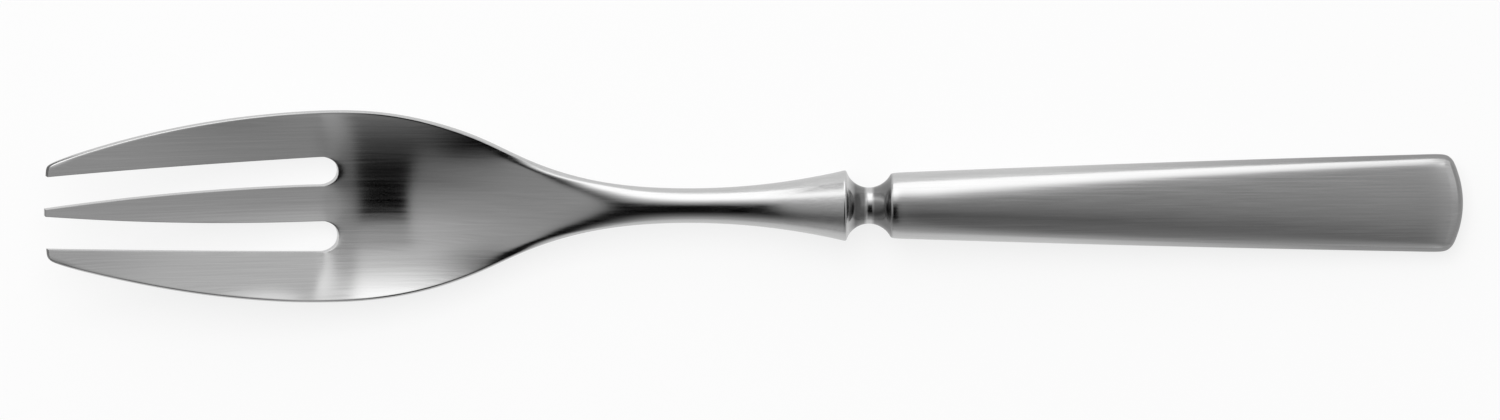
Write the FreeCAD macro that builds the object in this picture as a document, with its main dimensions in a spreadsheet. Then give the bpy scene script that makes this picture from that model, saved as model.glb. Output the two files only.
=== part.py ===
import FreeCAD, Part

# A small three-tined cake fork of stainless steel, forged and pressed in one piece.
# It lies front side up. X runs along the fork from the tips to the handle's end, Y across it,
# Z up from the surface that it rests on. Lengths are in millimetres and angles in degrees.

import math
import os

import Sketcher

Vector = FreeCAD.Vector
doc = FreeCAD.newDocument("cake_fork")

# Driving sizes. Places are measured along the fork from the tips.
SIZES = [
    ("overall_length", 150.0, "tips to the handle's end"),
    ("head_width", 20.3, "widest place of the head"),
    ("head_widest_at", 30.2, "place of the widest section"),
    ("tip_span", 9.94, "over the outer tines at their tips"),
    ("shoulder_width", 11.9, "where the head's outline turns hollow"),
    ("shoulder_at", 48.2, "place of that turn"),
    ("tine_edge_power", 2.0, "power of the outer tines' edge"),
    ("shoulder_power", 2.2, "power of the round shoulder"),
    ("neck_power", 2.5, "power of the hollow run into the neck"),
    ("tip_thickness", 1.3, "tines at the tips"),
    ("bowl_thickness", 1.8, "plate at the lowest place of the head"),
    ("shoulder_thickness", 2.2, "plate at the shoulder"),
    ("swell_power", 1.5, "power of the thickness from shoulder to neck"),
    ("tip_rim", 1.1, "rim's thickness at the tips"),
    ("bowl_rim", 1.3, "rim's thickness at the bowl"),
    ("shoulder_rim", 1.45, "rim's thickness at the shoulder"),
    ("rim_bulge_share", 0.3, "how far the rim stands out, as a share of its thickness"),
    ("tine_dish_radius", 62.0, "hollow across the tines"),
    ("root_dish_radius", 26.0, "hollow across the tines' roots"),
    ("bowl_dish_radius", 19.5, "hollow across the bowl"),
    ("heel_dish_radius", 23.0, "hollow across the heel of the bowl"),
    ("shoulder_dish_radius", 60.0, "hollow across the shoulder"),
    ("bowl_at", 36.0, "lowest place of the head"),
    ("heel_at", 42.0, "place of the heel section"),
    ("bowl_bend_radius", 33.0, "bend along the head, at mid thickness"),
    ("tine_slope", 17.0, "rise of the tines towards the tips"),
    ("shoulder_slope", 10.0, "rise of the shoulder towards the neck"),
    ("crest_radius", 60.0, "bend from the shoulder's slope to the level neck"),
    ("neck_height", 4.2, "axis of the neck above the table"),
    ("neck_diameter", 3.62, "thinnest place of the neck"),
    ("neck_at", 68.3, "place of the thinnest section"),
    ("flare_power", 1.95, "power of the flare from neck to lip"),
    ("lip_diameter", 7.56, "lip at the end of the flare"),
    ("lip_at", 84.5, "edge of the lip"),
    ("waist_diameter", 3.84, "bottom of the waist groove"),
    ("waist_groove_radius", 2.5, "hollow of the waist groove"),
    ("handle_front_diameter", 6.94, "round front end of the handle"),
    ("handle_end_width", 10.46, "handle's width at its end, before rounding"),
    ("handle_end_thickness", 3.6, "handle's thickness at its end"),
    ("handle_bow_share", 0.3, "how full the handle's sides are"),
    ("handle_side_share", 0.82, "side radius at the end, as a share of half the thickness"),
    ("handle_end_radius", 10.5, "plan curve of the handle's end"),
    ("handle_end_rounding", 1.3, "rounding all round the handle's end"),
    ("middle_tip_width", 0.72, "middle tine at its tip"),
    ("middle_root_width", 3.74, "middle tine at its root"),
    ("middle_tine_radius", 255.0, "curve of the middle tine's sides"),
    ("slot_tip_offset", 3.85, "centre line to the outer tines at the tips"),
    ("slot_root_offset", 5.12, "centre line to the outer tines at the roots"),
    ("slot_root_at", 30.55, "place of the slots' closed ends"),
    ("slot_corner_radius", 1.3, "corners of the slots' closed ends"),
    ("tip_line_radius", 32.0, "arc that the three tips lie on"),
    ("tip_corner_rounding", 0.4, "outer corners of the tips"),
    ("edge_rounding", 0.2, "edges of the lip and of the handle's front"),
    ("cut_spare", 1.5, "how far cutters run past the finished shape"),
]

sizes = doc.addObject("Spreadsheet::Sheet", "sizes")
for row, (alias, value, note) in enumerate(SIZES, start=1):
    sizes.set(f"A{row}", alias.replace("_", " "))
    sizes.set(f"B{row}", str(value))
    sizes.setAlias(f"B{row}", alias)
    sizes.set(f"C{row}", note)

# Derived values: the line of the side view, and the measures of each cross-section.
stations = doc.addObject("Spreadsheet::Sheet", "stations")
derived = []


def derive(alias, formula):
    """A new cell of the stations sheet, worked out from the sizes and from earlier cells."""
    derived.append(alias)
    row = len(derived)
    stations.set(f"A{row}", alias.replace("_", " "))
    stations.set(f"B{row}", "=" + formula)
    stations.setAlias(f"B{row}", alias)


derive("bottom_height", "sizes.bowl_thickness / 2")
derive("tine_bend_at", "sizes.bowl_at - sizes.bowl_bend_radius * sin(sizes.tine_slope)")
derive("tine_bend_height", "bottom_height + sizes.bowl_bend_radius * (1 - cos(sizes.tine_slope))")
derive("heel_bend_at", "sizes.bowl_at + sizes.bowl_bend_radius * sin(sizes.shoulder_slope)")
derive("heel_bend_height", "bottom_height + sizes.bowl_bend_radius * (1 - cos(sizes.shoulder_slope))")
derive("crest_drop", "sizes.crest_radius * (1 - cos(sizes.shoulder_slope))")
derive("crest_rise", "sizes.neck_height - crest_drop - heel_bend_height")
derive("crest_at", "heel_bend_at + crest_rise / tan(sizes.shoulder_slope)")
derive("crest_end_at", "crest_at + sizes.crest_radius * sin(sizes.shoulder_slope)")
derive("tip_at", "sizes.tip_thickness / 2 * sin(sizes.tine_slope)")
derive("tip_height", "tine_bend_height + (tine_bend_at - tip_at) * tan(sizes.tine_slope)")
derive("slot_root_along", "(sizes.slot_root_at - tip_at) / cos(sizes.tine_slope)")
derive("groove_height", "sizes.waist_diameter / 2 + sizes.waist_groove_radius")
derive("lip_depth", "groove_height - sizes.lip_diameter / 2")
derive("front_depth", "groove_height - sizes.handle_front_diameter / 2")
derive("groove_at", "sizes.lip_at + sqrt(sizes.waist_groove_radius ^ 2 - lip_depth ^ 2)")
derive("handle_front_at", "groove_at + sqrt(sizes.waist_groove_radius ^ 2 - front_depth ^ 2)")


def centre_height(place):
    """Mid thickness above the table: sloping tines, bowl bend, sloping shoulder, crest, level neck."""
    tines = f"tine_bend_height + (tine_bend_at - {place}) * tan(sizes.tine_slope)"
    bend = f"sqrt(sizes.bowl_bend_radius ^ 2 - ({place} - sizes.bowl_at) ^ 2)"
    bowl = f"bottom_height + sizes.bowl_bend_radius - {bend}"
    shoulder = f"heel_bend_height + ({place} - heel_bend_at) * tan(sizes.shoulder_slope)"
    bend = f"sqrt(sizes.crest_radius ^ 2 - (crest_end_at - {place}) ^ 2)"
    crest = f"sizes.neck_height - sizes.crest_radius + {bend}"
    neck = f"({place} < crest_end_at ? {crest} : sizes.neck_height)"
    rise = f"({place} < crest_at ? {shoulder} : {neck})"
    return f"{place} < tine_bend_at ? {tines} : ({place} < heel_bend_at ? {bowl} : {rise})"


def fade(place, level, level_at, other, other_at, power):
    """A size that leaves its level with no slope and reaches the other size by a power curve."""
    along = f"abs(({place} - {level_at}) / ({other_at} - {level_at}))"
    return f"({level} + ({other} - {level}) * {along} ^ {power})"


PARTING = 2**-0.5  # sine and cosine of the 45 degrees at which a round section is parted


def tine_measures(at):
    """Width, thickness, rim thickness and rim bulge across the tines."""
    wide = fade(at, "sizes.head_width", "sizes.head_widest_at", "sizes.tip_span", "0",
                "sizes.tine_edge_power")
    thick = fade(at, "sizes.bowl_thickness", "sizes.bowl_at", "sizes.tip_thickness", "0", "1")
    rim = fade(at, "sizes.bowl_rim", "sizes.bowl_at", "sizes.tip_rim", "0", "1")
    return wide, thick, rim, f"sizes.rim_bulge_share * {rim}"


def bowl_measures(at):
    """The same across the bowl and its heel."""
    wide = fade(at, "sizes.head_width", "sizes.head_widest_at", "sizes.shoulder_width",
                "sizes.shoulder_at", "sizes.shoulder_power")
    thick = fade(at, "sizes.bowl_thickness", "sizes.bowl_at", "sizes.shoulder_thickness",
                 "sizes.shoulder_at", "sizes.swell_power")
    rim = fade(at, "sizes.bowl_rim", "sizes.bowl_at", "sizes.shoulder_rim", "sizes.shoulder_at", "1")
    return wide, thick, rim, f"sizes.rim_bulge_share * {rim}"


def throat_measures(at):
    """The same where the flat shoulder turns into the round neck."""
    ends = ("sizes.neck_at", "sizes.shoulder_at")
    wide = fade(at, "sizes.neck_diameter", ends[0], "sizes.shoulder_width", ends[1], "sizes.neck_power")
    thick = fade(at, "sizes.neck_diameter", ends[0], "sizes.shoulder_thickness", ends[1],
                 "sizes.swell_power")
    rim = fade(at, f"{PARTING} * sizes.neck_diameter", ends[0], "sizes.shoulder_rim", ends[1],
               "sizes.swell_power")
    bulge = fade(at, f"(1 - {PARTING}) * sizes.neck_diameter / 2", ends[0],
                 "sizes.rim_bulge_share * sizes.shoulder_rim", ends[1], "sizes.swell_power")
    return wide, thick, rim, bulge


def flare_measures(at):
    """The same for the round neck, as it flares to the lip."""
    wide = fade(at, "sizes.neck_diameter", "sizes.neck_at", "sizes.lip_diameter", "sizes.lip_at",
                "sizes.flare_power")
    return wide, wide, f"{PARTING} * {wide}", f"(1 - {PARTING}) * {wide} / 2"


def head_section(name, place, measures, dish_radius=None):
    """Eight measures of a section whose rims lean with the hollow of the plate."""
    at = f"{name}_at"
    derive(at, place)
    derive(f"{name}_centre", centre_height(at))
    wide, thick, rim, bulge = measures(at)
    derive(f"{name}_half", f"{thick} / 2")
    derive(f"{name}_side_y", f"{wide} / 2")
    derive(f"{name}_rim", rim)
    derive(f"{name}_bulge", bulge)
    lean, rise = "0", "0"
    if dish_radius:
        lean = f"({name}_side_y / {dish_radius})"
        rise = f"{dish_radius} * (1 - sqrt(1 - {lean} ^ 2))"
    upright = f"sqrt(1 - {lean} ^ 2)"
    derive(f"{name}_side_z", rise)
    derive(f"{name}_foot_y", f"{name}_side_y - {name}_bulge * {upright}")
    derive(f"{name}_foot_z", f"{name}_side_z - {name}_bulge * {lean}")
    derive(f"{name}_top_y", f"{name}_foot_y - {name}_rim / 2 * {lean}")
    derive(f"{name}_top_z", f"{name}_foot_z + {name}_rim / 2 * {upright}")
    derive(f"{name}_low_y", f"{name}_foot_y + {name}_rim / 2 * {lean}")
    derive(f"{name}_low_z", f"{name}_foot_z - {name}_rim / 2 * {upright}")
    return name


def handle_section(name, place, share=None):
    """The same measures for the handle: round at its front, then an oval of four tangent arcs."""
    half, side, corner, crown = (f"{name}_{key}" for key in ("half", "side_y", "corner", "crown"))
    derive(f"{name}_at", place)
    if share is None:
        derive(f"{name}_centre", "sizes.neck_height")
        derive(half, "sizes.handle_front_diameter / 2")
        derive(side, half)
        derive(f"{name}_top_y", f"{PARTING} * {half}")
        derive(f"{name}_top_z", f"{PARTING} * {half}")
    else:
        full = f"{share} * (1 + sizes.handle_bow_share * (1 - {share}))"
        drop = "(sizes.handle_end_thickness / 2 - sizes.neck_height)"
        thin = "(sizes.handle_end_thickness - sizes.handle_front_diameter)"
        wide = "(sizes.handle_end_width - sizes.handle_front_diameter)"
        derive(f"{name}_centre", f"sizes.neck_height + {drop} * {share}")
        derive(half, f"(sizes.handle_front_diameter + {thin} * {share}) / 2")
        derive(side, f"(sizes.handle_front_diameter + {wide} * {full}) / 2")
        derive(corner, f"{half} * (1 - (1 - sizes.handle_side_share) * sqrt({share}))")
        derive(crown, f"(({side} - {corner}) ^ 2 + {half} ^ 2 - {corner} ^ 2) / (2 * ({half} - {corner}))")
        derive(f"{name}_top_y", f"{crown} * ({side} - {corner}) / ({crown} - {corner})")
        derive(f"{name}_top_z", f"{half} - {crown} * ({half} - {corner}) / ({crown} - {corner})")
    derive(f"{name}_side_z", "0")
    derive(f"{name}_low_y", f"{name}_top_y")
    derive(f"{name}_low_z", f"-{name}_top_z")
    return name


# The sections stand close together where a blank begins or ends, so that the skin runs out straight.
head_sections = [
    head_section(f"tines_{step}", f"{share} * sizes.head_widest_at", tine_measures,
                 "sizes.tine_dish_radius")
    for step, share in enumerate((-0.12, -0.06, 0.0, 0.12, 0.27, 0.53, 0.79))
]
head_sections += [
    head_section("roots", "sizes.head_widest_at", tine_measures, "sizes.root_dish_radius"),
    head_section("bowl", "sizes.bowl_at", bowl_measures, "sizes.bowl_dish_radius"),
    head_section("heel", "sizes.heel_at", bowl_measures, "sizes.heel_dish_radius"),
    head_section("shoulder", "sizes.shoulder_at", bowl_measures, "sizes.shoulder_dish_radius"),
]
head_sections += [
    head_section(f"throat_{step}", f"sizes.shoulder_at + {share} * (sizes.neck_at - sizes.shoulder_at)",
                 throat_measures)
    for step, share in enumerate((0.25, 0.5, 0.75))
]
head_sections += [
    head_section(f"flare_{step}", f"sizes.neck_at + {share} * (sizes.lip_at - sizes.neck_at)",
                 flare_measures)
    for step, share in enumerate((0.0, 0.3, 0.6, 0.8, 0.93, 1.0, 1.03))
]
handle_sections = [
    handle_section(f"blank_{step}", f"sizes.lip_at + {share} * (handle_front_at - sizes.lip_at)")
    for step, share in enumerate((0.0, 0.3, 0.6, 1.0, 1.2))
]
handle_sections += [
    handle_section(f"grip_{step}", f"handle_front_at + {share} * (sizes.overall_length - handle_front_at)",
                   share)
    for step, share in enumerate((0.1, 0.2, 0.35, 0.55, 0.75, 0.9, 0.96, 1.0, 1.03))
]
doc.recompute()

body = doc.addObject("PartDesign::Body", "fork")
body.Label = "fork"
body.setExpression("Placement.Base.x", "-sizes.overall_length / 2")


def size(alias):
    return float(sizes.get(alias))


def station(alias):
    return float(stations.get(alias))


def origin_plane(role):
    return next(feature for feature in body.Origin.OriginFeatures if feature.Role == role)


def new_sketch(name, role, *offset):
    """A sketch on one of the body's origin planes, its offset bound to cells."""
    sketch = body.newObject("Sketcher::SketchObject", name)
    sketch.AttachmentSupport = [(origin_plane(role), "")]
    sketch.MapMode = "FlatFace"
    for axis, formula in offset:
        sketch.setExpression(f"AttachmentOffset.{axis}", formula)
    return sketch


def limit(sketch, *terms):
    return sketch.addConstraint(Sketcher.Constraint(*terms))


def bind(sketch, label, formula, *terms):
    """A named dimension whose value comes from the sheets."""
    index = limit(sketch, *terms)
    sketch.renameConstraint(index, label)
    sketch.setExpression(f"Constraints.{label}", formula)


def end_at(sketch, edge, place):
    """Which end of an edge, 1 or 2, lies at a point."""
    return min((1, 2), key=lambda end: (sketch.getPoint(edge, end) - place).Length)


def section_sketch(name):
    """A closed section of four arcs, front, side, back and side, alike on both sides."""
    half, side_y, side_z, top_y, top_z, low_y, low_z = (
        station(f"{name}_{key}")
        for key in ("half", "side_y", "side_z", "top_y", "top_z", "low_y", "low_z")
    )
    sketch = new_sketch(
        f"{name}_section",
        "YZ_Plane",
        ("Base.y", f"stations.{name}_centre"),
        ("Base.z", f"stations.{name}_at"),
    )
    top, low = Vector(top_y, top_z), Vector(low_y, low_z)
    far_top, far_low = Vector(-top_y, top_z), Vector(-low_y, low_z)
    crown, keel = Vector(0, half), Vector(0, -half)
    edge, far_edge = Vector(side_y, side_z), Vector(-side_y, side_z)
    front, right, back, left = sketch.addGeometry(
        [
            Part.Arc(far_top, crown, top),
            Part.Arc(top, edge, low),
            Part.Arc(low, keel, far_low),
            Part.Arc(far_low, far_edge, far_top),
        ]
    )
    apexes = sketch.addGeometry([Part.Point(place) for place in (crown, edge, keel, far_edge)], True)
    for apex, arc in zip(apexes, (front, right, back, left)):
        limit(sketch, "PointOnObject", apex, 1, arc)
    for apex in (apexes[0], apexes[2]):
        limit(sketch, "PointOnObject", apex, 1, -2)
    for one, other, place in (
        (front, right, top), (right, back, low), (back, left, far_low), (left, front, far_top)
    ):
        limit(sketch, "Coincident", one, end_at(sketch, one, place), other, end_at(sketch, other, place))
    upper, lower = end_at(sketch, right, top), end_at(sketch, right, low)
    limit(sketch, "Symmetric", right, upper, left, end_at(sketch, left, far_top), -2)
    limit(sketch, "Symmetric", right, lower, left, end_at(sketch, left, far_low), -2)
    limit(sketch, "Symmetric", apexes[1], 1, apexes[3], 1, -2)
    cell = f"stations.{name}_"
    bind(sketch, "crown", cell + "half", "DistanceY", -1, 1, apexes[0], 1, half)
    bind(sketch, "keel", cell + "half", "DistanceY", apexes[2], 1, -1, 1, half)
    bind(sketch, "side_y", cell + "side_y", "DistanceX", -1, 1, apexes[1], 1, side_y)
    bind(sketch, "side_z", cell + "side_z", "DistanceY", -1, 1, apexes[1], 1, side_z)
    bind(sketch, "top_y", cell + "top_y", "DistanceX", -1, 1, right, upper, top_y)
    bind(sketch, "top_z", cell + "top_z", "DistanceY", -1, 1, right, upper, top_z)
    bind(sketch, "low_y", cell + "low_y", "DistanceX", -1, 1, right, lower, low_y)
    bind(sketch, "low_z", cell + "low_z", "DistanceY", -1, 1, right, lower, low_z)
    return sketch


def loft(name, sections):
    sketches = [section_sketch(section) for section in sections]
    doc.recompute()
    feature = body.newObject("PartDesign::AdditiveLoft", name)
    feature.Profile = sketches[0]
    feature.Sections = sketches[1:]
    doc.recompute()
    return feature


def pocket(name, sketch):
    """A cut right through, to both sides of the sketch."""
    feature = body.newObject("PartDesign::Pocket", name)
    feature.Profile = sketch
    feature.Type = "ThroughAll"
    feature.SideType = "Symmetric"
    doc.recompute()
    return feature


def rounding(name, radius, chosen):
    """A fillet along the edges that a test chooses."""
    base = body.Tip
    names = [f"Edge{n}" for n, edge in enumerate(base.Shape.Edges, start=1) if chosen(edge)]
    feature = body.newObject("PartDesign::Fillet", name)
    feature.Base = (base, names)
    feature.setExpression("Radius", radius)
    doc.recompute()
    return feature


def borders(edge, surface, radius=None):
    """Whether an edge lies on a face of a kind of surface, of one radius if that is given."""
    faces = body.Tip.Shape.ancestorsOfType(edge, Part.Face)
    kinds = [face.Surface for face in faces if face.Surface.TypeId == surface]
    return any(radius is None or abs(kind.Radius - radius) < 1e-6 for kind in kinds)


head = loft("head_and_neck", head_sections)
handle = loft("handle", handle_sections)

# Waist groove: a ring hollow turned round the neck's axis, from the rounded lip to the handle.
sketch = new_sketch("waist_profile", "XZ_Plane", ("Base.y", "sizes.neck_height"))
hollow, round_off, lip_radius = size("waist_groove_radius"), size("edge_rounding"), size("lip_diameter") / 2
centre = Vector(station("groove_at"), station("groove_height"))
drop = centre.y - lip_radius + round_off
lip_centre = Vector(centre.x - math.sqrt((hollow + round_off) ** 2 - drop**2), lip_radius - round_off)
lean = math.atan2(lip_centre.y - centre.y, lip_centre.x - centre.x) % (2 * math.pi)
ring, lip_round, wall, roof = sketch.addGeometry(
    [
        Part.ArcOfCircle(Part.Circle(centre, Vector(0, 0, 1), hollow), lean, 2 * math.pi),
        Part.ArcOfCircle(Part.Circle(lip_centre, Vector(0, 0, 1), round_off), lean - math.pi, math.pi / 2),
        Part.LineSegment(Vector(lip_centre.x, lip_radius), Vector(lip_centre.x, centre.y)),
        Part.LineSegment(Vector(lip_centre.x, centre.y), Vector(centre.x + hollow, centre.y)),
    ]
)
limit(sketch, "Tangent", ring, 1, lip_round, 1)
limit(sketch, "Coincident", lip_round, 2, wall, 1)
limit(sketch, "Coincident", wall, 2, roof, 1)
limit(sketch, "Coincident", roof, 2, ring, 2)
limit(sketch, "Vertical", wall)
limit(sketch, "Horizontal", roof)
limit(sketch, "Vertical", lip_round, 3, lip_round, 2)
limit(sketch, "Horizontal", ring, 3, ring, 2)
bind(sketch, "groove_at", "stations.groove_at", "DistanceX", -1, 1, ring, 3, centre.x)
bind(sketch, "groove_height", "stations.groove_height", "DistanceY", -1, 1, ring, 3, centre.y)
bind(sketch, "groove_radius", "sizes.waist_groove_radius", "Radius", ring, hollow)
bind(sketch, "lip_rounding", "sizes.edge_rounding", "Radius", lip_round, round_off)
bind(sketch, "lip_height", "sizes.lip_diameter / 2", "DistanceY", -1, 1, wall, 1, lip_radius)
groove = body.newObject("PartDesign::Groove", "waist_groove")
groove.Profile = sketch
groove.ReferenceAxis = (sketch, ["H_Axis"])
groove.Angle = 360
doc.recompute()


def tine_plane_sketch(name):
    """A sketch in the sloping plane of the tines, its origin at the middle tip."""
    sketch = new_sketch(name, "XY_Plane")
    sketch.AttachmentOffset = FreeCAD.Placement(
        Vector(0, 0, 0), FreeCAD.Rotation(Vector(0, 1, 0), size("tine_slope"))
    )
    sketch.setExpression("AttachmentOffset.Base.x", "stations.tip_at")
    sketch.setExpression("AttachmentOffset.Base.z", "stations.tip_height")
    sketch.setExpression("AttachmentOffset.Rotation.Angle", "sizes.tine_slope")
    return sketch


# Tips: trimmed to a shallow arc that only the middle tip reaches.
sketch = tine_plane_sketch("tip_trim")
radius, reach, far = size("tip_line_radius"), size("tip_span"), -4 * size("cut_spare")
turn = math.asin(reach / radius)
near = radius - radius * math.cos(turn)
arc, low_line, far_line, high_line = sketch.addGeometry(
    [
        Part.ArcOfCircle(Part.Circle(Vector(radius, 0), Vector(0, 0, 1), radius),
                         math.pi - turn, math.pi + turn),
        Part.LineSegment(Vector(near, -reach), Vector(far, -reach)),
        Part.LineSegment(Vector(far, -reach), Vector(far, reach)),
        Part.LineSegment(Vector(far, reach), Vector(near, reach)),
    ]
)
limit(sketch, "Coincident", arc, 2, low_line, 1)
limit(sketch, "Coincident", low_line, 2, far_line, 1)
limit(sketch, "Coincident", far_line, 2, high_line, 1)
limit(sketch, "Coincident", high_line, 2, arc, 1)
limit(sketch, "Horizontal", low_line)
limit(sketch, "Horizontal", high_line)
limit(sketch, "Vertical", far_line)
limit(sketch, "PointOnObject", arc, 3, -1)
limit(sketch, "PointOnObject", -1, 1, arc)
bind(sketch, "tip_line", "sizes.tip_line_radius", "Radius", arc, radius)
bind(sketch, "reach", "sizes.tip_span", "DistanceY", -1, 1, arc, 1, reach)
bind(sketch, "far_reach", "sizes.tip_span", "DistanceY", arc, 2, -1, 1, reach)
bind(sketch, "spare", "4 * sizes.cut_spare", "DistanceX", far_line, 1, -1, 1, -far)
pocket("tips", sketch)

# Slots: one between the middle tine and an outer one, and its mirror image.
sketch = tine_plane_sketch("slot_profile")
root, corner, far = station("slot_root_along"), size("slot_corner_radius"), -size("cut_spare")
side_radius = size("middle_tine_radius")
tip_side, root_side = Vector(0, size("middle_tip_width") / 2), Vector(root, size("middle_root_width") / 2)
outer_tip, outer_root = Vector(0, size("slot_tip_offset")), Vector(root, size("slot_root_offset"))
chord = root_side - tip_side
below = Vector(chord.y, -chord.x).normalize() * math.sqrt(side_radius**2 - (chord.Length / 2) ** 2)
side_centre = tip_side + chord / 2 + below


def side_at(along):
    return Vector(along, side_centre.y + math.sqrt(side_radius**2 - (along - side_centre.x) ** 2))


def outer_at(along):
    return outer_tip + (outer_root - outer_tip) * (along / root)


inner_low, inner_high = side_at(root - corner), outer_at(root - corner)
first, last = side_at(far), outer_at(far)
side, low_corner, root_line, high_corner, outer, mouth = sketch.addGeometry(
    [
        Part.ArcOfCircle(
            Part.Circle(side_centre, Vector(0, 0, 1), side_radius),
            math.atan2(inner_low.y - side_centre.y, inner_low.x - side_centre.x),
            math.atan2(first.y - side_centre.y, first.x - side_centre.x),
        ),
        Part.ArcOfCircle(
            Part.Circle(inner_low + Vector(0, corner), Vector(0, 0, 1), corner), -math.pi / 2, 0
        ),
        Part.LineSegment(Vector(root, inner_low.y + corner), Vector(root, inner_high.y - corner)),
        Part.ArcOfCircle(
            Part.Circle(inner_high - Vector(0, corner), Vector(0, 0, 1), corner), 0, math.pi / 2
        ),
        Part.LineSegment(inner_high, last),
        Part.LineSegment(last, first),
    ]
)
marks = sketch.addGeometry(
    [Part.Point(place) for place in (tip_side, root_side, outer_tip, outer_root)], True
)
limit(sketch, "Tangent", side, 1, low_corner, 1)
limit(sketch, "Tangent", low_corner, 2, root_line, 1)
limit(sketch, "Tangent", root_line, 2, high_corner, 1)
limit(sketch, "Tangent", high_corner, 2, outer, 1)
limit(sketch, "Coincident", outer, 2, mouth, 1)
limit(sketch, "Coincident", mouth, 2, side, 2)
limit(sketch, "Vertical", root_line)
limit(sketch, "Vertical", mouth)
for mark, edge in zip(marks, (side, side, outer, outer)):
    limit(sketch, "PointOnObject", mark, 1, edge)
limit(sketch, "PointOnObject", marks[0], 1, -2)
limit(sketch, "PointOnObject", marks[2], 1, -2)
limit(sketch, "Equal", low_corner, high_corner)
bind(sketch, "corner", "sizes.slot_corner_radius", "Radius", low_corner, corner)
bind(sketch, "side", "sizes.middle_tine_radius", "Radius", side, side_radius)
bind(sketch, "root", "stations.slot_root_along", "DistanceX", -1, 1, root_line, 1, root)
bind(sketch, "spare", "sizes.cut_spare", "DistanceX", mouth, 1, -1, 1, -far)
bind(sketch, "tip_side", "sizes.middle_tip_width / 2", "DistanceY", -1, 1, marks[0], 1, tip_side.y)
bind(sketch, "root_side_at", "stations.slot_root_along", "DistanceX", -1, 1, marks[1], 1, root)
bind(sketch, "root_side", "sizes.middle_root_width / 2", "DistanceY", -1, 1, marks[1], 1, root_side.y)
bind(sketch, "outer_tip", "sizes.slot_tip_offset", "DistanceY", -1, 1, marks[2], 1, outer_tip.y)
bind(sketch, "outer_root_at", "stations.slot_root_along", "DistanceX", -1, 1, marks[3], 1, root)
bind(sketch, "outer_root", "sizes.slot_root_offset", "DistanceY", -1, 1, marks[3], 1, outer_root.y)
slot = pocket("slot", sketch)
mirrored = body.newObject("PartDesign::Mirrored", "slots")
mirrored.Originals = [slot]
mirrored.MirrorPlane = (origin_plane("XZ_Plane"), [""])
body.Tip = mirrored
doc.recompute()

# Handle's end: trimmed to a shallow arc.
sketch = new_sketch("end_trim", "XY_Plane")
length, radius, reach = size("overall_length"), size("handle_end_radius"), 0.6 * size("handle_end_width")
turn = math.asin(reach / radius)
near, far = length - radius * (1 - math.cos(turn)), length + 4 * size("cut_spare")
arc, high_line, far_line, low_line = sketch.addGeometry(
    [
        Part.ArcOfCircle(Part.Circle(Vector(length - radius, 0), Vector(0, 0, 1), radius), -turn, turn),
        Part.LineSegment(Vector(near, reach), Vector(far, reach)),
        Part.LineSegment(Vector(far, reach), Vector(far, -reach)),
        Part.LineSegment(Vector(far, -reach), Vector(near, -reach)),
    ]
)
limit(sketch, "Coincident", arc, 2, high_line, 1)
limit(sketch, "Coincident", high_line, 2, far_line, 1)
limit(sketch, "Coincident", far_line, 2, low_line, 1)
limit(sketch, "Coincident", low_line, 2, arc, 1)
limit(sketch, "Horizontal", low_line)
limit(sketch, "Horizontal", high_line)
limit(sketch, "Vertical", far_line)
limit(sketch, "PointOnObject", arc, 3, -1)
bind(sketch, "end_centre", "sizes.overall_length - sizes.handle_end_radius", "DistanceX",
     -1, 1, arc, 3, length - radius)
bind(sketch, "end_line", "sizes.handle_end_radius", "Radius", arc, radius)
bind(sketch, "reach", "0.6 * sizes.handle_end_width", "DistanceY", -1, 1, arc, 2, reach)
bind(sketch, "far_reach", "0.6 * sizes.handle_end_width", "DistanceY", arc, 1, -1, 1, reach)
bind(sketch, "spare", "sizes.overall_length + 4 * sizes.cut_spare", "DistanceX", -1, 1, far_line, 1, far)
pocket("handle_end", sketch)

# Rounded edges: all round the handle's end, its front rim, and the outer corners of the tips.
end_radius, groove_place = size("handle_end_radius"), station("groove_at")
tip_middle = (size("slot_tip_offset") + size("tip_span") / 2) / 2
rounding(
    "end_rounding",
    "sizes.handle_end_rounding",
    lambda edge: borders(edge, "Part::GeomCylinder", end_radius),
)
rounding(
    "front_rounding",
    "sizes.edge_rounding",
    lambda edge: borders(edge, "Part::GeomToroid") and edge.BoundBox.XMin > groove_place,
)
rounding(
    "tip_rounding",
    "sizes.tip_corner_rounding",
    lambda edge: edge.BoundBox.XMax < 1
    and min(abs(edge.BoundBox.YMin), abs(edge.BoundBox.YMax)) > tip_middle,
)

# Every feature has to be sound and the fork one closed solid before it is written.
for thing in doc.Objects:
    if {"Invalid", "Error"} & set(thing.State):
        raise RuntimeError(f"{thing.Label}: {thing.State}")
    if thing.isDerivedFrom("Sketcher::SketchObject") and not thing.FullyConstrained:
        raise RuntimeError(f"{thing.Label} is not fully constrained")
    if thing.isDerivedFrom("PartDesign::Feature") and (thing.Shape.isNull() or not thing.Shape.isValid()):
        raise RuntimeError(f"{thing.Label} has no sound shape")
if len(body.Shape.Solids) != 1 or not body.Shape.isClosed():
    raise RuntimeError("the fork is not one closed solid")
os.makedirs("parts", exist_ok=True)
body.Shape.exportStep("parts/fork.step")
print("fork", round(body.Shape.Volume, 3), "cubic millimetres")
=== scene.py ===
from math import asin, cos, hypot, pi, radians, sin, sqrt, tan

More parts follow.
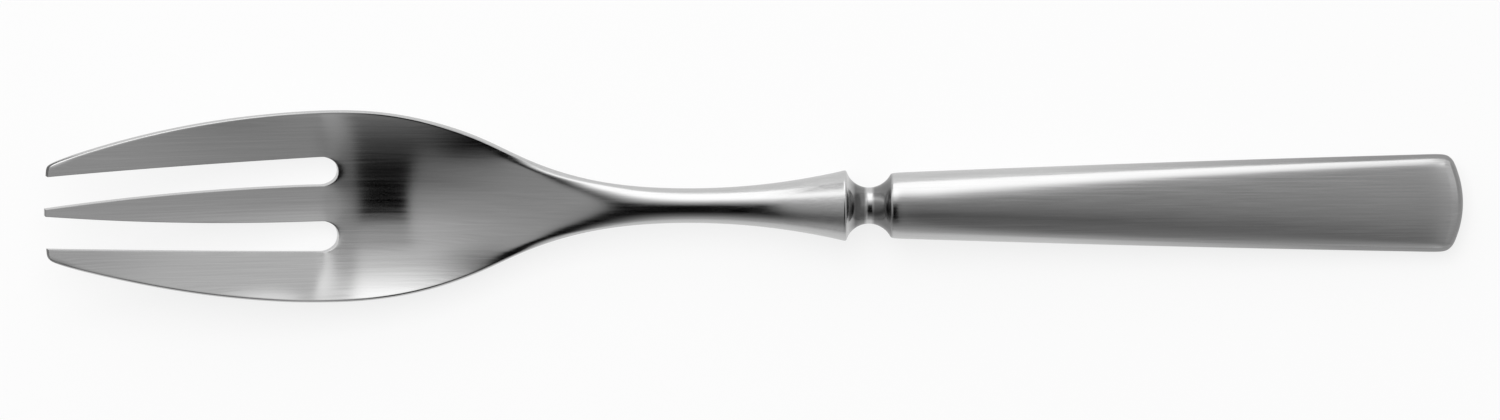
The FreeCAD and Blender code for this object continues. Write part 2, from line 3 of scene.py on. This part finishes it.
import bmesh
import bpy
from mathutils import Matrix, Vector


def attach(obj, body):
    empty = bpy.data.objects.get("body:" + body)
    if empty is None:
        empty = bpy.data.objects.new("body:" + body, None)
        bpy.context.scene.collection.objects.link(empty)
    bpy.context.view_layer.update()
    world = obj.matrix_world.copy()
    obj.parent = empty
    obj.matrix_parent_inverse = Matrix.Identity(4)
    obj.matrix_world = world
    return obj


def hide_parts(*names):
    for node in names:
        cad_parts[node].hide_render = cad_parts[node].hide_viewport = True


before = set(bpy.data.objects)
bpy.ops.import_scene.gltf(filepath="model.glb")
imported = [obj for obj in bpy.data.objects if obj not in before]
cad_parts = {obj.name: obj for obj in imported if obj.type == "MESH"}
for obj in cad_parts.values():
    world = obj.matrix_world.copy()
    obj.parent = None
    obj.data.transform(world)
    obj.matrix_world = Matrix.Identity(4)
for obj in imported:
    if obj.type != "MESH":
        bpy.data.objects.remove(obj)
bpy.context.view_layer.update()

# The fork. One piece of stainless steel: a flat blank is forged with a round neck, lip, waist and
# handle, two slots are cut to leave three tines, the head is pressed hollow in a die, and the whole
# is ground and brushed to a satin finish. It is modelled in millimetres, from the tips at x = 0.

LENGTH = 150.0
TIP_SPAN = 9.94
TIP_ARC = 32.0
HEAD_WIDTH = 20.3
HEAD_WIDEST_AT = 30.2
SHOULDER_WIDTH = 11.9
SHOULDER_AT = 48.2
NECK_DIAMETER = 3.62
NECK_AT = 68.3
NECK_HEIGHT = 4.2
LIP_DIAMETER = 7.56
LIP_AT = 84.5


def fade(x, level, level_at, other, other_at, power):
    """A size that leaves its level with no slope and reaches the other size by a power curve."""
    return level + (other - level) * abs((x - level_at) / (other_at - level_at)) ** power


def half_width(x):
    """Half the fork's width in plan, from the tips to the lip."""
    if x < HEAD_WIDEST_AT:
        return fade(x, HEAD_WIDTH, HEAD_WIDEST_AT, TIP_SPAN, 0, 2.0) / 2
    if x < SHOULDER_AT:
        return fade(x, HEAD_WIDTH, HEAD_WIDEST_AT, SHOULDER_WIDTH, SHOULDER_AT, 2.2) / 2
    if x < NECK_AT:
        return fade(x, NECK_DIAMETER, NECK_AT, SHOULDER_WIDTH, SHOULDER_AT, 2.5) / 2
    return fade(x, NECK_DIAMETER, NECK_AT, LIP_DIAMETER, LIP_AT, 1.95) / 2


# The plate gets thicker from the tips to the neck, and is thinner at its rim than in its middle.
TIP_THICKNESS = 1.3
TIP_RIM = 1.1
BOWL_THICKNESS = 1.8
BOWL_RIM = 1.3
BOWL_AT = 36.0
SHOULDER_THICKNESS = 2.2
SHOULDER_RIM = 1.45


def half_thickness(x):
    """Half the plate's thickness on the centre line."""
    if x < BOWL_AT:
        return fade(x, BOWL_THICKNESS, BOWL_AT, TIP_THICKNESS, 0, 1) / 2
    if x < SHOULDER_AT:
        return fade(x, BOWL_THICKNESS, BOWL_AT, SHOULDER_THICKNESS, SHOULDER_AT, 1.5) / 2
    if x < NECK_AT:
        return fade(x, NECK_DIAMETER, NECK_AT, SHOULDER_THICKNESS, SHOULDER_AT, 1.5) / 2
    return half_width(x)


def rim_thickness(x):
    """The plate's thickness at its rim."""
    if x < BOWL_AT:
        return fade(x, BOWL_RIM, BOWL_AT, TIP_RIM, 0, 1)
    return fade(x, BOWL_RIM, BOWL_AT, SHOULDER_RIM, SHOULDER_AT, 1)


# Each cross-section has ten columns of points on a side, from the centre line to the rim, given as
# distances across and up. The slot lies between columns 2 and 5. Columns 8 and 9 are the rim's edge
# and its apex, where the upper and lower points meet. A side of a slot is given by how far from the
# centre line it is at the tips, how much further it is at the slot's end, and how much it bows.
EDGE = 8
APEX = 9
ROOT_AT = 29.3
SLOT_END_AT = 30.55
MIDDLE_TINE = (0.36, 1.51, 1.96)
OUTER_TINE = (3.82, 1.33, 0.45)
RIM_WIDTH = 0.7
RIM_EDGE = 0.08
RIM_BULGE = 0.16


def slot_side(sizes, share):
    at_tip, further, bow = sizes
    return at_tip + further * share + bow * share * (1 - share)


def head_columns(x):
    """The flat head, with the slots' sides."""
    side, half, rim = half_width(x), half_thickness(x), rim_thickness(x)
    along = min(x, ROOT_AT) / SLOT_END_AT
    scale = 1 if x < ROOT_AT else side / half_width(ROOT_AT)
    middle = slot_side(MIDDLE_TINE, along) * scale
    outer = slot_side(OUTER_TINE, along) * scale
    slot = outer - middle
    across = [0, middle * 0.55, middle, middle + slot * 0.22, middle + slot * 0.78, outer]
    across += [outer + (side - outer) * 0.48, side - RIM_WIDTH, side - RIM_EDGE]
    columns = [(y, half + (rim / 2 - half) * (y / side) ** 2) for y in across]
    return columns + [(side + RIM_BULGE, 0)]


def crown_of(half, side, corner):
    """An oval's crowned face: its radius, and the angle at which it meets the rounded side."""
    crown = ((side - corner) ** 2 + half**2 - corner**2) / (2 * (half - corner))
    return crown, asin(min(1, max(0, (side - corner) / (crown - corner))))


def oval(half, side, corner, inset=0.0):
    """An oval with crowned faces and round sides, or a circle where its corner is its side."""
    crown, turn = half, radians(45)
    if side - corner > 0.01:
        crown, turn = crown_of(half, side, corner)
    columns = []
    for step in range(5):
        lean = turn * step / 4
        reach = crown - inset
        columns.append((reach * sin(lean), half - crown + reach * cos(lean)))
    for step in range(1, 6):
        lean = turn + (pi / 2 - turn) * step / 5
        reach = corner - inset
        columns.append((side - corner + reach * sin(lean), reach * cos(lean)))
    columns[APEX] = (columns[APEX][0], 0)
    return columns


# How round the neck's edges are, as a share of half its thickness, at places along the fork.
NECK_EDGES = ((46, 0.64), (50, 0.68), (54, 0.8), (59, 0.94), (62.5, 0.99))


def read_off(x, stops):
    """A size read off a line through given points."""
    for (start, first), (end, last) in zip(stops, stops[1:]):
        if x < end:
            return first + (last - first) * max(0, x - start) / (end - start)
    return stops[-1][1]


def soft(x, start, end):
    """A share that goes from 0 at the start to 1 at the end, with no slope at either."""
    share = min(1, max(0, (x - start) / (end - start)))
    return share * share * (3 - 2 * share)


def neck_columns(x):
    """The flat head's section drawn in to a bar with rounded edges and then to the round neck."""
    side, half, rim = half_width(x), half_thickness(x), rim_thickness(x) / 2
    corner = half * read_off(x, NECK_EDGES)
    crown, turn = crown_of(half, side, corner)
    columns = []
    for (flat_y, flat_z), (round_y, round_z) in zip(head_columns(x), oval(1, 1, 1)):
        y = flat_y + (round_y * side - flat_y) * soft(x, 46, 60)
        share = min(1, y / side)
        if y < crown * sin(turn):
            edged = half - crown + sqrt(crown**2 - y * y)
        else:
            edged = sqrt(max(0, corner**2 - (y - side + corner) ** 2))
        z = half + (rim - half) * share**2
        z += (edged - z) * soft(x, 46, 54)
        z += (half * sqrt(max(0, 1 - share**2)) - z) * soft(x, 53, 64)
        columns.append((y, z if flat_z else 0))
    return columns


# The handle: round at its front, a flat oval at its end, with sides that bow out a little.
FRONT_AT = 89.23
FRONT_WIDTH = 6.98
FRONT_THICKNESS = 6.94
END_WIDTH = 10.6
END_THICKNESS = 3.6
HANDLE_BOW = 0.3
SIDE_FLATTENING = 0.18
END_ARC = 10.5


def handle_columns(x, inset=0.0):
    """The handle's section, or one that lies a little inside it."""
    share = (x - FRONT_AT) / (LENGTH - FRONT_AT)
    half = (FRONT_THICKNESS + (END_THICKNESS - FRONT_THICKNESS) * share) / 2
    side = (FRONT_WIDTH + (END_WIDTH - FRONT_WIDTH) * share * (1 + HANDLE_BOW * (1 - share))) / 2
    return oval(half, side, half * (1 - SIDE_FLATTENING * sqrt(share)), inset)


# Points that lie this near to a column, or to the middle plane, belong to it.
NEAR = 1e-3


def choose(test):
    """Selects the points that pass a test, and the edges and faces between them."""
    mesh = bmesh.from_edit_mesh(fork.data)
    for point in mesh.verts:
        point.select = bool(test(point))
    mesh.select_flush_mode()


def bring(old, new, shifts=None):
    """Brings each column of the chosen points to its new place, and along the fork by its shift."""
    mesh = bmesh.from_edit_mesh(fork.data)
    mesh.verts.index_update()
    points = [(point.index, abs(point.co.y), abs(point.co.z)) for point in mesh.verts if point.select]
    columns = []
    for number, (y, z) in enumerate(old):
        near = [(index, high) for index, wide, high in points if abs(wide - y) < NEAR]
        if number == EDGE:
            near = [(index, high) for index, high in near if high > NEAR]
        if number == APEX:
            near = [(index, high) for index, high in near if high < NEAR]
        columns.append({index for index, high in near})
    for number, column in enumerate(columns):
        if column:
            choose(lambda point: point.index in column)
            (old_y, old_z), (new_y, new_z) = old[number], new[number]
            stretch = (1, new_y / old_y if old_y else 1, new_z / old_z if old_z else 1)
            bpy.ops.transform.resize(value=stretch, center_override=(0, 0, 0))
            if shifts:
                bpy.ops.transform.translate(value=(shifts[number], 0, 0))
    whole = set().union(*columns)
    choose(lambda point: point.index in whole)


def draw_out(distance):
    """Extrudes what is chosen along the fork. The new points stay chosen."""
    bpy.ops.mesh.extrude_region_move(TRANSFORM_OT_translate={"value": (distance, 0, 0)})


# A standing sheet of small squares is the section through the roots of the tines. Its squares at
# the slots move on, so that the slots get round ends.
ROOT_ROUND = 1.3

bpy.ops.object.select_all(action="DESELECT")
bpy.ops.mesh.primitive_grid_add(x_subdivisions=2, y_subdivisions=16, size=2, rotation=(0, pi / 2, 0))
fork = bpy.context.object
fork.name = "satin_fork"
bpy.ops.object.transform_apply(rotation=True)
bpy.ops.object.mode_set(mode="EDIT")
bpy.context.tool_settings.mesh_select_mode = (True, False, False)
bpy.ops.mesh.select_all(action="SELECT")
bpy.ops.transform.translate(value=(ROOT_AT, 0, 0))
sheet = [(step / 8, 1) for step in range(9)] + [(1, 0)]
roots = head_columns(ROOT_AT)
bring(sheet, roots)
slot_middle = (roots[2][0] + 0.1, roots[5][0] - 0.1)
choose(lambda point: slot_middle[0] < abs(point.co.y) < slot_middle[1])
bpy.ops.transform.translate(value=(ROOT_ROUND, 0, 0))

# The rim of the sheet is drawn out to the shoulder, the neck, the lip, the waist and the handle. The
# waist is turned: its groove is an arc between the rounded edges of the lip and of the handle.
WAIST_AT = 86.917
GROOVE_RADIUS = 2.55
GROOVE_HEIGHT = 4.42
STRAIGHT_FROM = 33.2

shoulder_at = (30.2, 31.5, STRAIGHT_FROM, 35.3, 38, 41, 44, 46.5, 49, 51.5, 54.5, 58, 62)
neck_at = (66, 70, 74, 77.5, 80.5, 82.6, 83.9)
handle_at = (90.6, 94, 99, 105, 112, 120, 128, 135, 141, 145.5)
waist = [(84.35, 3.78), (84.56, 3.7)]
for angle in (-62, -42, -21, 0, 21, 42, 58):
    lean = radians(angle)
    waist.append((WAIST_AT + GROOVE_RADIUS * sin(lean), GROOVE_HEIGHT - GROOVE_RADIUS * cos(lean)))
waist += [(89.2, 3.36), (89.42, 3.48)]
loops = [(x, neck_columns(x)) for x in shoulder_at + neck_at]
loops += [(x, oval(radius, radius, radius)) for x, radius in waist]
loops += [(x, handle_columns(x)) for x in handle_at]

# The first loops bulge behind the slots' round ends, less and less, until they are straight.
choose(lambda point: point.is_boundary)
place = ROOT_AT
section = roots
bulge = ROOT_ROUND
for x, columns in loops:
    draw_out(x - place)
    left = ROOT_ROUND * max(0, (STRAIGHT_FROM - x) / (STRAIGHT_FROM - ROOT_AT)) ** 1.4
    bring(section, columns, [left - bulge if number in (3, 4) else 0 for number in range(10)])
    place, section, bulge = x, columns, left

# The end is rounded off all round: each loop lies further in and less far back from the end's arc.
# Then the last loop is squeezed flat and joined.
END_SECTION_AT = 148.5

shifts_before = [0] * 10
for inset, back in ((0, 0.9), (0.18, 0.22), (0.8, 0.0)):
    columns = handle_columns(END_SECTION_AT, inset)
    shifts = [LENGTH - END_ARC + sqrt(END_ARC**2 - y * y) - back - place for y, z in columns]
    draw_out(0)
    bring(section, columns, [shift - before for shift, before in zip(shifts, shifts_before)])
    section, shifts_before = columns, shifts
draw_out(0)
bpy.ops.transform.resize(value=(1, 0.96, 0), center_override=(0, 0, 0))
bpy.ops.mesh.remove_doubles(threshold=0.01)

# The squares on both sides of the slots are drawn out to the tips, which lie on an arc.
choose(
    lambda point: abs(point.co.x - ROOT_AT) < NEAR
    and not slot_middle[0] < abs(point.co.y) < slot_middle[1]
)
place = ROOT_AT
section = roots
for x in (28.7, 27.8, 26.4, 24, 20, 16, 12, 8, 4.6, 2):
    draw_out(x - place)
    columns = head_columns(x)
    bring(section, columns)
    place, section = x, columns
draw_out(0.15 - place)
columns = head_columns(0.2)
bring(section, columns, [TIP_ARC - sqrt(TIP_ARC**2 - y * y) for y, z in columns])

# The rims' edges keep their crispness under the smoothing, up to where the neck begins.
NECK_FROM = 56

bpy.context.tool_settings.mesh_select_mode = (False, True, False)


def on_rim(point):
    off_edge = abs(point.co.y) - half_width(point.co.x) + RIM_EDGE
    return point.co.x < NECK_FROM and abs(point.co.z) > 0.1 and abs(off_edge) < 0.02


mesh = bmesh.from_edit_mesh(fork.data)
for edge in mesh.edges:
    edge.select_set(all(on_rim(point) for point in edge.verts))
mesh.select_flush_mode()
bpy.ops.transform.edge_crease(value=0.6)

# Edges of tips and slots are broken by a narrow bevel, and by a broader one round the slots' ends.
# The upright edges in the slots' ends stay, because the ends are round.
bpy.ops.mesh.select_all(action="SELECT")
bpy.ops.mesh.normals_make_consistent(inside=False)
for weight, first, last in ((0.45, -1, 29), (1.0, 29, 34)):
    bpy.ops.mesh.select_all(action="DESELECT")
    mesh = bmesh.from_edit_mesh(fork.data)
    for edge in mesh.edges:
        one, other = edge.verts[0].co, edge.verts[1].co
        sharp = edge.calc_face_angle(0) > radians(70)
        upright = abs(one.x - other.x) < 0.5 and abs(one.y - other.y) < 0.5 and one.x > 20
        edge.select_set(sharp and first < (one.x + other.x) / 2 < last and not upright)
    mesh.select_flush_mode()
    bpy.ops.transform.edge_bevelweight(value=weight)
bpy.ops.object.mode_set(mode="OBJECT")
broken = fork.modifiers.new("broken_edges", "BEVEL")
broken.width = 0.42
broken.segments = 2
broken.limit_method = "WEIGHT"
bpy.ops.object.modifier_apply(modifier="broken_edges")

# Where each point lies in the flat blank, in metres, which the brushing of the steel follows.
blank = fork.data.attributes.new("blank", "FLOAT_VECTOR", "POINT")
for point, flat in zip(fork.data.vertices, blank.data):
    flat.vector = point.co / 1000

# The die's side line, as slopes in degrees at places along the fork: the tines that rise to their
# tips, the bend at their roots, the bowl, the shoulder, and the level neck. The heights are added up
# in small steps from the neck, whose height is known.
SLOPES = ((0, -17.3), (26.2, -17.3), (29.1, -10), (31.3, -7.4), (33.4, -5), (35.6, 0), (38.7, 6.9),
          (40.2, 9.5), (46, 9.5), (50, 7.3), (58.6, 7.3), (62.4, 0), (90, 0))
HANDLE_FALL = 2.4
STEP = 0.1

heights = [NECK_HEIGHT]
while len(heights) <= FRONT_AT / STEP:
    place = FRONT_AT - STEP * len(heights)
    heights.append(heights[-1] - STEP * tan(radians(read_off(place + STEP / 2, SLOPES))))
heights.reverse()


def height(x):
    """Height of the fork's middle plane above the table."""
    if x > FRONT_AT:
        return NECK_HEIGHT - HANDLE_FALL * (x - FRONT_AT) / (LENGTH - FRONT_AT)
    place = max(0, x) / STEP
    before = min(int(place), len(heights) - 2)
    return heights[before] + (heights[before + 1] - heights[before]) * (place - before)


# The die's hollow across the head: one over its radius, at places along the fork. It is tighter in
# the middle than towards the rims. Round the slots' ends the upper side falls off a little.
HOLLOW = ((0, 0.016), (7, 0.016), (26, 0.056), (40, 0.055), (44, 0.04), (48.2, 0.022), (54, 0.012),
          (61, 0))
TIGHTER = 0.32
TIGHTER_WITHIN = 4.8
RIM_LEAN = 0.1
SLOT_END = (28.96, 3.51)
SLOT_END_RADIUS = 1.64
FALL_OFF_DEPTH = 0.1
FALL_OFF_WIDTH = 0.9


def pressed(x, y, z):
    """Where the die puts a point of the flat blank."""
    curve = sum(read_off(x + shift, HOLLOW) for shift in (-0.8, 0, 0.8)) / 3
    tighter = 1 + TIGHTER / (1 + (y / TIGHTER_WITHIN) ** 4)
    lean = asin(min(0.9, max(-0.9, y * curve * tighter)))
    rise = (1 - cos(lean)) / curve if curve > 1e-5 else 0
    thinner = (half_thickness(x) - rim_thickness(x) / 2) * min(1, y / half_width(x)) ** 2
    rise += thinner * read_off(x, ((52, 1), (63, 0)))
    on_upper_side = z > 0.3
    if on_upper_side and 28.5 < x < 33:
        to_slot = hypot(x - SLOT_END[0], abs(y) - SLOT_END[1]) - SLOT_END_RADIUS
        share = max(0, 1 - max(0, to_slot) / FALL_OFF_WIDTH)
        rise -= FALL_OFF_DEPTH * share**2 * min(1, max(0, x - SLOT_END[0]))
    slope = (height(x + 0.5) - height(x - 0.5)) * read_off(x, ((40, 1), (60, 0)))
    upright = 1 / hypot(1, slope)
    up = height(x) + rise + z * cos(lean) * upright
    return x - z * slope * upright, y - RIM_LEAN * z * sin(lean), up


for point in fork.data.vertices:
    point.co = pressed(*point.co)

smoothing = fork.modifiers.new("smoothing", "SUBSURF")
smoothing.levels = 2
smoothing.render_levels = 2
bpy.ops.object.modifier_apply(modifier="smoothing")
bpy.ops.object.shade_smooth()
fork.scale = (0.001, 0.001, 0.001)
fork.location = (-LENGTH / 2000, 0, 0)
bpy.ops.object.transform_apply(location=True, rotation=True, scale=True)

# Satin steel: fine streaks run along the flat blank, in the tone, the roughness and the relief. The
# waist groove gets painted shade on both sides of its bottom, which darkens its base colour there.
STEEL = (0.62, 0.62, 0.62, 1)
STREAK_SCALE = (70, 5200, 5200)
STREAK_RELIEF = 0.000003
STREAK_TONES = ((0.25, 0.57), (0.75, 0.67))
GROOVE = (0.0845, 0.0894)
GROOVE_PAINTED_SHADE = ((0.04, 1), (0.2, 0.3), (0.38, 0.4), (0.45, 1), (0.54, 1), (0.62, 0.4), (0.95, 0.3),
                (1, 1))


def node(tree, kind, **values):
    """A node of a kind, with its properties and unlinked inputs set."""
    made = tree.nodes.new(kind)
    for key, value in values.items():
        if key in made.inputs:
            made.inputs[key].default_value = value
        else:
            setattr(made, key, value)
    return made


def spread(tree, source, start, end, first=0.0, last=1.0):
    """A value that goes from first to last while its source goes from start to end."""
    made = node(tree, "ShaderNodeMapRange")
    tree.links.new(source, made.inputs["Value"])
    made.inputs["From Min"].default_value = start
    made.inputs["From Max"].default_value = end
    made.inputs["To Min"].default_value = first
    made.inputs["To Max"].default_value = last
    return made.outputs["Result"]


def greys(tree, source, stops):
    """Greys at places along a value from 0 to 1."""
    made = tree.nodes.new("ShaderNodeValToRGB")
    tree.links.new(source, made.inputs["Fac"])
    elements = made.color_ramp.elements
    while len(elements) < len(stops):
        elements.new(0.5)
    for element, (position, grey) in zip(elements, stops):
        element.position = position
        element.color = (grey, grey, grey, 1)
    return made.outputs["Color"]


steel = bpy.data.materials.new("satin_steel")
steel.use_nodes = True
tree = steel.node_tree
shader = tree.nodes["Principled BSDF"]
shader.inputs["Base Color"].default_value = STEEL
shader.inputs["Metallic"].default_value = 1
shader.inputs["Anisotropic"].default_value = 0.75
shader.inputs["Anisotropic Rotation"].default_value = 0.25
lengthwise = node(tree, "ShaderNodeVectorTransform", vector_type="VECTOR")
lengthwise.convert_from = "OBJECT"
lengthwise.convert_to = "WORLD"
lengthwise.inputs["Vector"].default_value = (1, 0, 0)
tree.links.new(lengthwise.outputs["Vector"], shader.inputs["Tangent"])

flat = node(tree, "ShaderNodeAttribute", attribute_name="blank")
along_blank = node(tree, "ShaderNodeSeparateXYZ")
tree.links.new(flat.outputs["Vector"], along_blank.inputs[0])
stretch = node(tree, "ShaderNodeVectorMath", operation="MULTIPLY")
stretch.inputs[1].default_value = STREAK_SCALE
tree.links.new(flat.outputs["Vector"], stretch.inputs[0])
streaks = node(tree, "ShaderNodeTexNoise", Scale=1.0, Detail=4.0, Roughness=0.65)
tree.links.new(stretch.outputs["Vector"], streaks.inputs["Vector"])
rough = spread(tree, streaks.outputs["Fac"], 0.3, 0.7, 0.12, 0.21)
tree.links.new(rough, shader.inputs["Roughness"])

tone = greys(tree, streaks.outputs["Fac"], STREAK_TONES)
# Painted shade: the base colour is darkened on both sides of the waist groove's bottom.
groove_shade = greys(tree, spread(tree, along_blank.outputs["X"], *GROOVE), GROOVE_PAINTED_SHADE)
darker = node(tree, "ShaderNodeMix", data_type="RGBA", blend_type="MULTIPLY")
darker.inputs["Factor"].default_value = 1.0
tree.links.new(tone, darker.inputs["A"])
tree.links.new(groove_shade, darker.inputs["B"])
tree.links.new(darker.outputs["Result"], shader.inputs["Base Color"])

# The streaks are deep on the head and shallow from the neck on.
bump = node(tree, "ShaderNodeBump", Distance=STREAK_RELIEF)
depth = spread(tree, along_blank.outputs["X"], 0.05, 0.06, 1.0, 0.35)
tree.links.new(depth, bump.inputs["Strength"])
tree.links.new(streaks.outputs["Fac"], bump.inputs["Height"])
tree.links.new(bump.outputs["Normal"], shader.inputs["Normal"])
fork.data.materials.append(steel)

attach(fork, "root")
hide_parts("fork")

# The table top: white paper that keeps the fork's soft shadow. The steel mirrors it with painted
# shade:
# greyer towards the front, a painted dark patch beyond the tips and a grey one under the handle's
# end.
bpy.ops.mesh.primitive_plane_add(size=4, location=(0, 0, 0))
floor = bpy.context.object
floor.name = "table_top"
paper = bpy.data.materials.new("white_paper")
paper.use_nodes = True
tree = paper.node_tree
paint = tree.nodes["Principled BSDF"]
paint.inputs["Base Color"].default_value = (0.85, 0.85, 0.85, 1)
paint.inputs["Roughness"].default_value = 0.9

spot = tree.nodes.new("ShaderNodeTexCoord")
sides = tree.nodes.new("ShaderNodeSeparateXYZ")
tree.links.new(spot.outputs["Object"], sides.inputs[0])
# Painted shade in the paper's glow that only the steel mirrors: dark beyond the tips, grey under the
# handle, greyer in front.
to_painted_patches = spread(tree, sides.outputs["X"], -0.08, 0.1)
painted_patches = greys(tree, to_painted_patches, ((0.0, 0.05), (0.02, 1.0), (0.62, 1.0), (0.8, 0.45), (1.0, 0.4)))
mirrored = node(tree, "ShaderNodeMath", operation="MULTIPLY")
tree.links.new(spread(tree, sides.outputs["Y"], -0.08, 0.05, 0.5, 1.0), mirrored.inputs[0])
tree.links.new(painted_patches, mirrored.inputs[1])

path = tree.nodes.new("ShaderNodeLightPath")
strength = node(tree, "ShaderNodeMix", data_type="FLOAT")
tree.links.new(path.outputs["Is Camera Ray"], strength.inputs["Factor"])
tree.links.new(mirrored.outputs[0], strength.inputs["A"])
strength.inputs["B"].default_value = 1.0
glow = node(tree, "ShaderNodeEmission")
tree.links.new(strength.outputs["Result"], glow.inputs["Strength"])
glossy = node(tree, "ShaderNodeMath", operation="MULTIPLY")
glossy.inputs[1].default_value = 0.85
tree.links.new(path.outputs["Is Glossy Ray"], glossy.inputs[0])
share = node(tree, "ShaderNodeMath", operation="MULTIPLY_ADD")
share.inputs[1].default_value = 0.8
tree.links.new(path.outputs["Is Camera Ray"], share.inputs[0])
tree.links.new(glossy.outputs[0], share.inputs[2])
covered = tree.nodes.new("ShaderNodeMixShader")
tree.links.new(share.outputs[0], covered.inputs["Fac"])
tree.links.new(paint.outputs["BSDF"], covered.inputs[1])
tree.links.new(glow.outputs["Emission"], covered.inputs[2])
tree.links.new(covered.outputs[0], tree.nodes["Material Output"].inputs["Surface"])
floor.data.materials.append(paper)

# The lamp: a soft light behind the fork, which throws the shadow and isn't mirrored itself.
bpy.ops.object.light_add(type="AREA", location=(-0.1, 0.3, 0.7))
lamp = bpy.context.object
lamp.data.energy = 4
lamp.data.size = 0.5
lamp.rotation_euler = (-lamp.location).to_track_quat("-Z", "Y").to_euler()
lamp.visible_glossy = False

# The studio that the steel mirrors: a dark gap straight above the fork, a bright soft light behind
# it, and duller walls towards both ends. Each wall is named after what mirrors it, and is a row of
# greys at angles across the fork, in degrees from straight up.
world = bpy.data.worlds.new("studio")
bpy.context.scene.world = world
world.use_nodes = True
tree = world.node_tree
around = tree.nodes.new("ShaderNodeTexCoord")
split = tree.nodes.new("ShaderNodeSeparateXYZ")
tree.links.new(around.outputs["Generated"], split.inputs[0])


def angle_share(kind, source, other=None):
    """An angle worked out from a direction, as a share of a full turn, with 0.5 for straight up."""
    turn = node(tree, "ShaderNodeMath", operation=kind)
    tree.links.new(source, turn.inputs[0])
    if other:
        tree.links.new(other, turn.inputs[1])
    return spread(tree, turn.outputs[0], -pi, pi)


across = angle_share("ARCTAN2", split.outputs["Y"], split.outputs["Z"])
along = angle_share("ARCSINE", split.outputs["X"])


def at_angles(share, stops):
    return greys(tree, share, [(degrees / 360 + 0.5, grey) for degrees, grey in stops])


def blend(first, second, stops):
    """Goes over from one wall to the next between two angles along the fork."""
    mix = node(tree, "ShaderNodeMix", data_type="RGBA")
    tree.links.new(at_angles(along, stops), mix.inputs["Factor"])
    tree.links.new(first, mix.inputs["A"])
    tree.links.new(second, mix.inputs["B"])
    return mix.outputs["Result"]


BOWL_AND_NECK = ((-104, 0.6), (-77, 0.35), (-61, 0.16), (-50, 0.09), (-42, 0.035), (-35, 0.004),
                 (-28, 0.0), (-3, 0.0), (3, 0.01), (8, 0.08), (14, 0.23), (20, 0.42), (26, 0.6),
                 (33, 0.86), (40, 1.2), (46, 1.5), (52, 1.65), (94, 1.65), (100, 0.9))
SHOULDER = ((-110, 0.6), (-90, 0.5), (-75, 0.4), (-60, 0.22), (-50, 0.15), (-40, 0.15), (-31, 0.2),
            (-22, 0.27), (-15, 0.33), (-6, 0.37), (4, 0.45), (9, 0.47), (22, 0.63), (34, 0.8),
            (43, 1.3), (50, 1.6), (60, 1.5), (70, 0.85), (100, 0.7))
HANDLE = ((-112, 0.69), (-89, 0.6), (-74, 0.52), (-57, 0.4), (-40, 0.24), (-30, 0.15), (-22, 0.15),
          (-15, 0.2), (-7, 0.24), (6, 0.27), (13, 0.3), (20, 0.33), (32, 0.4), (38, 0.55),
          (48, 0.9), (60, 0.98), (94, 0.95), (100, 0.8))
HANDLE_END = ((-110, 0.6), (-60, 0.3), (-45, 0.26), (-30, 0.28), (-20, 0.34), (-6, 0.39), (4, 0.45),
              (12, 0.52), (19, 0.62), (27, 0.8), (36, 1.05), (45, 1.25), (60, 0.9), (94, 0.85))
TINES = ((-110, 0.6), (-80, 0.4), (-60, 0.31), (-45, 0.31), (-30, 0.35), (-18, 0.4), (-5, 0.42),
         (1, 0.5), (7, 0.61), (12, 0.66), (45, 0.66), (94, 0.75))
FAR_END = ((-150, 0.36), (150, 0.36))

walls = blend(at_angles(across, TINES), at_angles(across, FAR_END), ((36, 0), (44, 1)))
walls = blend(at_angles(across, HANDLE_END), walls, ((16.8, 0), (18.2, 1)))
walls = blend(at_angles(across, HANDLE), walls, ((10.8, 0), (12.2, 1)))
walls = blend(at_angles(across, BOWL_AND_NECK), walls, ((6.6, 0), (8, 1)))
walls = blend(walls, at_angles(across, SHOULDER), ((-16, 1), (-13.5, 0)))
tree.links.new(walls, tree.nodes["Background"].inputs["Color"])

# The camera looks down from a little behind the fork, the long way across the picture, whose middle
# lies a little off the fork's.
TILT = radians(7)
DISTANCE = 0.9
FIELD_WIDTH = 0.1596
FRAME_WIDTH = 36

camera_data = bpy.data.cameras.new("camera")
camera = bpy.data.objects.new("camera", camera_data)
bpy.context.scene.collection.objects.link(camera)
bpy.context.scene.camera = camera
camera_data.lens = FRAME_WIDTH * DISTANCE / FIELD_WIDTH
camera.rotation_euler = (-TILT, 0, 0)
aim = Vector((-0.00067, -0.00098 / cos(TILT), 0))
camera.location = aim + Vector((0, sin(TILT), cos(TILT))) * DISTANCE

bpy.context.scene.view_settings.view_transform = "Standard"
